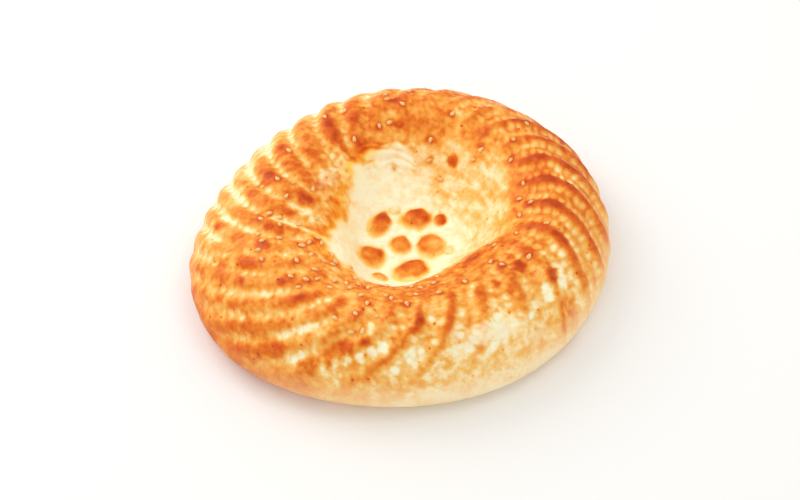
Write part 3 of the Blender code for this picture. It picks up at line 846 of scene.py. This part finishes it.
def glazed_crust(colours, butter_colour, dust_and_sheen_colour):
    """Milk-washed wheat crust from a clay oven: pale in the pits, golden, then brown where it stood up.

    The wash leaves a soft satin shine, and the browning follows the relief as it does in the oven.
    """
    material, tree = new_material("milk_washed_wheat_crust")
    place = add_node(tree, "ShaderNodeTexCoord").outputs["Object"]
    browning = baked_in(tree, "browning")
    blotches = grain(tree, place, *CRUST_BLOTCHES)
    mottle = grain(tree, place, *CRUST_MOTTLE)
    blotch_share = stretch(tree, blotches, PATTERN_RANGE, (-BLOTCH_TONE, BLOTCH_TONE))
    mottle_share = stretch(tree, mottle, PATTERN_RANGE, (-MOTTLE_TONE, MOTTLE_TONE))
    dots = add_node(tree, "ShaderNodeTexVoronoi", {"Scale": BRAN_SCALE}, {"Vector": place})
    dot_share = stretch(tree, dots.outputs["Distance"], BRAN_SIZE, (BRAN_TONE, 0.0))
    shown = stretch(tree, dots.outputs["Color"], BRAN_SHOWN, (0.0, 1.0))
    well_baked = stretch(tree, browning, BRAN_BAKED, (BRAN_ON_PALE, 1.0))
    few = add_node(tree, "ShaderNodeMath", {"operation": "MULTIPLY"}, {0: dot_share, 1: shown})
    dotted = add_node(tree, "ShaderNodeMath", {"operation": "MULTIPLY_ADD"},
                      {0: few.outputs["Value"], 1: well_baked, 2: browning})
    blotched = add_node(tree, "ShaderNodeMath", {"operation": "ADD"},
                        {0: dotted.outputs["Value"], 1: blotch_share})
    total = add_node(tree, "ShaderNodeMath", {"operation": "ADD", "use_clamp": True},
                     {0: blotched.outputs["Value"], 1: mottle_share})
    ramp = add_node(tree, "ShaderNodeValToRGB", links={"Fac": total.outputs["Value"]})
    stops = ramp.color_ramp.elements
    while len(stops) < len(colours):
        stops.new(0.5)
    for stop, (position, colour) in zip(stops, colours):
        stop.position = position
        stop.color = colour
    buttered = add_node(tree, "ShaderNodeMix",
                        {"data_type": "RGBA", "blend_type": "MULTIPLY", "B": butter_colour},
                        {"Factor": baked_in(tree, "butter"), "A": ramp.outputs["Color"]})
    # Flour dust, and the painted sheen laid as pale colour in place of the glaze's highlight
    dust_and_sheen = stretch(tree, baked_in(tree, "dusty"), (0.0, 1.0), (0.0, DUST_AND_SHEEN_COVER))
    dust_and_sheen_mixed = add_node(tree, "ShaderNodeMix", {"data_type": "RGBA", "B": dust_and_sheen_colour},
                      {"Factor": dust_and_sheen, "A": buttered.outputs["Result"]})
    bump = add_node(tree, "ShaderNodeBump", {"Strength": GRAIN_STRENGTH, "Distance": GRAIN_DEPTH},
                    {"Height": grain(tree, place, *CRUST_GRAIN)})
    shader = add_node(tree, "ShaderNodeBsdfPrincipled",
                      {"IOR": 1.45, "Specular IOR Level": 0.22, "Subsurface Weight": 0.12,
                       "Subsurface Radius": (3.0 * MM, 1.4 * MM, 0.6 * MM), "Subsurface Scale": 1.0},
                      {"Base Color": dust_and_sheen_mixed.outputs["Result"], "Normal": bump.outputs["Normal"],
                       "Roughness": stretch(tree, blotches, SHINE_RANGE, CRUST_ROUGHNESS)})
    add_node(tree, "ShaderNodeOutputMaterial", links={"Surface": shader.outputs["BSDF"]})
    return material


def hulled_sesame(colour, toasted):
    """Hulled sesame: creamy, slightly translucent and oily, a little toasted in patches."""
    material, tree = new_material("toasted_hulled_sesame")
    place = add_node(tree, "ShaderNodeTexCoord").outputs["Object"]
    mix = add_node(tree, "ShaderNodeMix", {"data_type": "RGBA", "A": colour, "B": toasted},
                   {"Factor": grain(tree, place, SEED_GRAIN)})
    shader = add_node(tree, "ShaderNodeBsdfPrincipled",
                      {"Roughness": 0.3, "IOR": 1.47, "Subsurface Weight": 0.2,
                       "Subsurface Radius": (1.5 * MM, 1.0 * MM, 0.6 * MM), "Subsurface Scale": 1.0},
                      {"Base Color": mix.outputs["Result"]})
    add_node(tree, "ShaderNodeOutputMaterial", links={"Surface": shader.outputs["BSDF"]})
    return material


def painted_board(colour):
    """White emulsion on smooth board: even and matt, with a roller's faint unevenness."""
    material, tree = new_material("white_emulsion_board")
    place = add_node(tree, "ShaderNodeTexCoord").outputs["Object"]
    rough = stretch(tree, grain(tree, place, BOARD_GRAIN), (0.0, 1.0), BOARD_ROUGHNESS)
    shader = add_node(tree, "ShaderNodeBsdfPrincipled", {"Base Color": colour, "Specular IOR Level": 0.2},
                      {"Roughness": rough})
    add_node(tree, "ShaderNodeOutputMaterial", links={"Surface": shader.outputs["BSDF"]})
    return material


def colour_setting(name, description, code):
    """A colour on the panel, from its sRGB hex code."""
    return bpy.props.FloatVectorProperty(name=name, description=description, subtype="COLOR", size=4,
                                         default=linear(code))


def length_setting(name, description, size):
    """A length on the panel, in metres."""
    return bpy.props.FloatProperty(name=name, description=description, default=size, unit="LENGTH")


class CrustSettings(bpy.types.PropertyGroup):
    """Colours that dough takes in the oven, from palest to darkest."""
    dough: colour_setting("Dough", "Palest crust, in the pits and the grooves", "FEFBD8")
    cream: colour_setting("Cream", "Crust of the hollow", "FFE4AC")
    gold: colour_setting("Gold", "Lightly baked crust", "F8C064")
    amber: colour_setting("Amber", "Well baked crust of the rim", "F29C38")
    chestnut: colour_setting("Chestnut", "Crust on the ridges", "E3761A")
    brown: colour_setting("Brown", "Browned ridge tops", "D6580A")
    scorched: colour_setting("Scorched", "Darkest spots", "B84008")
    butter: colour_setting("Butter", "Yellow tint where the glaze pooled", "FFD870")
    # Colour of the flour dust, and of the painted sheen
    dust_and_sheen: colour_setting("Dust", "Flour dust on the loaf's side", "FEE6C0")


class SesameSettings(bpy.types.PropertyGroup):
    """Size, number and colours of the sesame seeds."""
    length: length_setting("Length", "Length of one seed", 3.6 * MM)
    width: length_setting("Width", "Width of one seed", 2.2 * MM)
    thickness: length_setting("Thickness", "Thickness of one seed", 1.6 * MM)
    extra: bpy.props.IntProperty(name="Extra seeds", description="Seeds beside those in the solid",
                                 default=20)
    cream: colour_setting("Cream", "Hulled seed", "FBD796")
    toasted: colour_setting("Toasted", "Toasted seed", "E49C4A")


class StudioSettings(bpy.types.PropertyGroup):
    """Camera, lamps and floor of the product picture."""
    lens: bpy.props.FloatProperty(name="Lens", description="Focal length in millimetres", default=60.0)
    distance: length_setting("Distance", "Camera to loaf", 0.70)
    elevation: bpy.props.FloatProperty(name="Elevation", description="Camera's height angle",
                                       default=math.radians(50.0), subtype="ANGLE")
    roll: bpy.props.FloatProperty(name="Roll", description="Camera's lean", default=math.radians(3.0),
                                  subtype="ANGLE")
    key: bpy.props.FloatProperty(name="Key", description="Soft window lamp's power", default=3.2,
                                 unit="POWER")
    sky: bpy.props.FloatProperty(name="Sky", description="Strength of the light from all round",
                                 default=0.87)
    floor: colour_setting("Floor", "Floor colour", "F6F5F2")


# Sowing of the seeds: the solid's own seeds come from the same draws, then more are dropped in clusters
SEED_COUNT = 72
SEED_GAP = 5.0 * MM
SEED_INNER = 38.0 * MM
SEED_OUTER = 92.0 * MM
SEED_SOWN_AT = 62.0 * MM
SEED_PROUD = 0.15 * MM
SEED_DRIFTS = [(225.0, 62.0, 1.0), (100.0, 24.0, 0.7), (5.0, 40.0, 0.25)]
SEED_SPRINKLE = 0.22
SEED_RANDOM = 11
SEED_CLUSTERS = [(214.0, 52.0, 12.0), (236.0, 58.0, 14.0), (264.0, 61.0, 12.0)]
CLUSTER_GAP = 3.4 * MM
# Painted contact shadow round each seed, laid into the crust's browning: how dark and how wide
SEED_SHADE = 0.31
SEED_SHADE_WIDTH = 2.1 * MM
CLUSTER_ACROSS = 0.5
CLUSTER_ROUND = 0.7

# Shape of a seed: points round it, rings along it, and how blunt, how large and how plump it is
SEED_ROUND = 12
SEED_LONG = 9
SEED_BLUNTNESS = 0.75
SEED_SIZES = (0.88, 1.12)
SEED_PLUMPNESS = (0.68, 0.85)


def seed_density(angle):
    """How thickly the seeds were sown at this angle, from 0 to about 1."""
    degrees = math.degrees(angle) % 360.0
    sown = SEED_SPRINKLE
    for middle, width, share in SEED_DRIFTS:
        away = abs((degrees - middle + 180.0) % 360.0 - 180.0)
        sown += share * math.exp(-(away / width) ** 2)
    return sown


def seed_places(surface, extra):
    """Points on the crust for the seeds, with the crust's outward direction and a lie."""
    draw = random.Random(SEED_RANDOM)
    places = []

    def drop(radius, angle, lie, gap):
        """Lets a seed fall on the crust, and keeps it where it lies clear of the others."""
        above = Vector((radius * math.cos(angle), radius * math.sin(angle), 2.0 * RIM_HEIGHT))
        point, outwards, _, _ = surface.ray_cast(above, Vector((0.0, 0.0, -1.0)))
        if all((point - other).length > gap for other, _, _ in places):
            places.append((point, outwards, lie))

    while len(places) < SEED_COUNT:
        angle = draw.uniform(0.0, math.tau)
        radius = draw.triangular(SEED_INNER, SEED_OUTER, SEED_SOWN_AT)
        lie = draw.uniform(0.0, math.tau)
        if draw.random() > seed_density(angle):
            continue
        drop(radius, angle, lie, SEED_GAP)
    while len(places) < SEED_COUNT + extra:
        middle, radius, spread = draw.choice(SEED_CLUSTERS)
        away = draw.gauss(0.0, CLUSTER_ACROSS * spread) * MM
        aside = draw.gauss(0.0, CLUSTER_ROUND * spread) / radius
        drop(radius * MM + away, math.radians(middle) + aside, draw.uniform(0.0, math.tau), CLUSTER_GAP)
    return places


def paint_seed_shade(mesh, places):
    """Darkens the crust a little round each seed: painted shade, a contact shadow laid into the browning."""
    spots = np.empty(len(mesh.vertices) * 3)
    mesh.vertices.foreach_get("co", spots)
    spots = spots.reshape(-1, 3)
    layer = mesh.attributes["browning"]
    browning = np.empty(len(mesh.vertices))
    layer.data.foreach_get("value", browning)
    for place, _, _ in places:
        gap = np.linalg.norm(spots - np.array(place), axis=1)
        browning += SEED_SHADE * np.exp(-(gap / SEED_SHADE_WIDTH) ** 2)
    layer.data.foreach_set("value", np.minimum(browning, 1.0))


def seed_points(length, width, thickness, plumpness):
    """Rings of one seed, round at one end and pointed at the other, along X."""
    points = [(-0.5 * length, 0.0, 0.0)]
    for step in range(1, SEED_LONG):
        t = step / SEED_LONG
        girth = 0.5 * math.sin(math.pi * t ** plumpness) ** SEED_BLUNTNESS
        for side in range(SEED_ROUND):
            turn = math.tau * side / SEED_ROUND
            ring = (width * girth * math.cos(turn), thickness * girth * math.sin(turn))
            points.append(((t - 0.5) * length, *ring))
    return points + [(0.5 * length, 0.0, 0.0)]


def seed_faces(first):
    """Faces of one seed whose points start at the given index."""
    rings = SEED_LONG - 1
    faces = []
    for side in range(SEED_ROUND):
        after = (side + 1) % SEED_ROUND
        faces.append((first, first + 1 + after, first + 1 + side))
        last = first + 1 + (rings - 1) * SEED_ROUND
        faces.append((first + 1 + rings * SEED_ROUND, last + side, last + after))
        for ring in range(rings - 1):
            low = first + 1 + ring * SEED_ROUND
            faces.append((low + side, low + after, low + SEED_ROUND + after, low + SEED_ROUND + side))
    return faces


class BAKERY_OT_crust(bpy.types.Operator):
    """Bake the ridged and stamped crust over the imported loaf"""
    bl_idname = "bakery.crust"
    bl_label = "Bake the crust"

    def execute(self, context):
        tones = context.scene.bakery_crust
        mesh = bread_mesh(Crust())
        settle_in_box(mesh, CAD_BOX)
        piece = bpy.data.objects.new("crust", mesh)
        context.scene.collection.objects.link(piece)
        colours = [(share, getattr(tones, name)) for name, share in BAKING_STEPS.items()]
        mesh.materials.append(glazed_crust(colours, tones.butter, tones.dust_and_sheen))
        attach(piece, BREAD_BODY)
        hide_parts(BREAD_NODE)
        return {"FINISHED"}


class BAKERY_OT_sesame(bpy.types.Operator):
    """Scatter sesame seeds and press them into the crust"""
    bl_idname = "bakery.sesame"
    bl_label = "Scatter sesame"

    def execute(self, context):
        tones = context.scene.bakery_sesame
        crust = bpy.data.objects["crust"].data
        surface = BVHTree.FromPolygons([vertex.co for vertex in crust.vertices],
                                       [polygon.vertices for polygon in crust.polygons])
        draw = random.Random(SEED_RANDOM + 1)
        points = []
        faces = []
        places = seed_places(surface, tones.extra)
        # Paints a contact shadow round each seed into the crust's browning
        paint_seed_shade(crust, places)
        for place, outwards, lie in places:
            size = draw.uniform(*SEED_SIZES)
            shape = seed_points(tones.length * size, tones.width * size, tones.thickness * size,
                                draw.uniform(*SEED_PLUMPNESS))
            turn = outwards.to_track_quat("Z", "Y").to_matrix() @ Matrix.Rotation(lie, 3, "Z")
            sunk = place + outwards * SEED_PROUD
            faces.extend(seed_faces(len(points)))
            points.extend(sunk + turn @ Vector(point) for point in shape)
        top = CAD_BOX[1][2]
        mesh = bpy.data.meshes.new("sesame_seeds")
        mesh.from_pydata([(point.x, point.y, min(point.z, top)) for point in points], [], faces)
        mesh.polygons.foreach_set("use_smooth", [True] * len(mesh.polygons))
        mesh.validate()
        piece = bpy.data.objects.new("sesame_seeds", mesh)
        context.scene.collection.objects.link(piece)
        mesh.materials.append(hulled_sesame(tones.cream, tones.toasted))
        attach(piece, BREAD_BODY)
        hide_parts(BREAD_NODE)
        return {"FINISHED"}


# The floor's half width, and the lamps: name, place, size and share of the window lamp's power
FLOOR_HALF = 2.0
LAMPS = [("window", (-0.55, 0.45, 0.62), 0.6, 1.0), ("overhead", (0.36, 0.0, 0.86), 0.3, 0.2)]

# Where the loaf shows in the picture: its middle, and the pixel that it falls on
PICTURE_SIZE = (800.0, 500.0)
LOAF_MIDDLE = Vector((1.2 * MM, -1.5 * MM, 18.0 * MM))
LOAF_PIXEL = (402.4, 233.0)
SENSOR = 36.0


class BAKERY_OT_studio(bpy.types.Operator):
    """Set the floor, the lamps and the camera"""
    bl_idname = "bakery.studio"
    bl_label = "Set up the studio"

    def execute(self, context):
        studio = context.scene.bakery_studio
        self.lay_floor(context, studio)
        self.hang_lamps(context, studio)
        self.place_camera(context, studio)
        context.scene.view_settings.view_transform = "Standard"
        return {"FINISHED"}

    def lay_floor(self, context, studio):
        """A wide pale board under the loaf."""
        corners = [(x * FLOOR_HALF, y * FLOOR_HALF, 0.0) for x, y in ((-1, -1), (1, -1), (1, 1), (-1, 1))]
        mesh = bpy.data.meshes.new("floor")
        mesh.from_pydata(corners, [], [(0, 1, 2, 3)])
        mesh.materials.append(painted_board(studio.floor))
        floor = bpy.data.objects.new("floor", mesh)
        context.scene.collection.objects.link(floor)

    def hang_lamps(self, context, studio):
        """Soft light from all round, a window lamp at the back left and a weaker lamp overhead."""
        world = bpy.data.worlds.new("soft_sky")
        world.use_nodes = True
        sky = world.node_tree.nodes["Background"]
        sky.inputs["Color"].default_value = (1.0, 1.0, 1.0, 1.0)
        sky.inputs["Strength"].default_value = studio.sky
        context.scene.world = world
        for name, place, size, share in LAMPS:
            light = bpy.data.lights.new(name, "AREA")
            light.shape = "SQUARE"
            light.size = size
            light.energy = studio.key * share
            lamp = bpy.data.objects.new(name, light)
            lamp.location = place
            lamp.rotation_euler = (-Vector(place)).to_track_quat("-Z", "Y").to_euler()
            context.scene.collection.objects.link(lamp)

    def place_camera(self, context, studio):
        """A camera that leans by the roll, and aims so that the loaf's middle falls on its pixel."""
        back = Vector((0.0, -math.cos(studio.elevation), math.sin(studio.elevation)))
        level = Vector((1.0, 0.0, 0.0))
        upright = back.cross(level)
        right = level * math.cos(studio.roll) - upright * math.sin(studio.roll)
        up = level * math.sin(studio.roll) + upright * math.cos(studio.roll)
        pixel = studio.distance * SENSOR / studio.lens / PICTURE_SIZE[0]
        aside = (LOAF_PIXEL[0] - PICTURE_SIZE[0] / 2) * pixel
        above = (PICTURE_SIZE[1] / 2 - LOAF_PIXEL[1]) * pixel
        eye = LOAF_MIDDLE + back * studio.distance
        aim = LOAF_MIDDLE - right * aside - up * above
        backwards = (eye - aim).normalized()
        sideways = up.cross(backwards).normalized()
        upwards = backwards.cross(sideways)
        lens = bpy.data.cameras.new("camera")
        lens.lens = studio.lens
        lens.sensor_width = SENSOR
        camera = bpy.data.objects.new("camera", lens)
        axes = Matrix((sideways, upwards, backwards)).transposed().to_4x4()
        camera.matrix_world = Matrix.Translation(eye) @ axes
        context.scene.collection.objects.link(camera)
        context.scene.camera = camera


class BAKERY_PT_panel(bpy.types.Panel):
    """The bakery's settings and its steps in order"""
    bl_label = "Lepyoshka"
    bl_idname = "BAKERY_PT_panel"
    bl_space_type = "VIEW_3D"
    bl_region_type = "UI"
    bl_category = "Bakery"

    def draw(self, context):
        layout = self.layout
        for group, label, kind in SETTINGS:
            box = layout.box()
            box.label(text=label)
            for name in kind.__annotations__:
                box.prop(getattr(context.scene, group), name)
        for step in STEPS:
            layout.operator(step)


SETTINGS = (("bakery_crust", "Crust", CrustSettings), ("bakery_sesame", "Sesame", SesameSettings),
            ("bakery_studio", "Studio", StudioSettings))
CLASSES = (BAKERY_OT_crust, BAKERY_OT_sesame, BAKERY_OT_studio, BAKERY_PT_panel)
STEPS = ("bakery.crust", "bakery.sesame", "bakery.studio")


def register():
    for group, _, kind in SETTINGS:
        bpy.utils.register_class(kind)
        setattr(bpy.types.Scene, group, bpy.props.PointerProperty(type=kind))
    for item in CLASSES:
        bpy.utils.register_class(item)


def unregister():
    for item in reversed(CLASSES):
        bpy.utils.unregister_class(item)
    for group, _, kind in reversed(SETTINGS):
        delattr(bpy.types.Scene, group)
        bpy.utils.unregister_class(kind)


def main():
    register()
    bpy.ops.bakery.crust()
    bpy.ops.bakery.sesame()
    bpy.ops.bakery.studio()


if __name__ == "__main__":
    main()
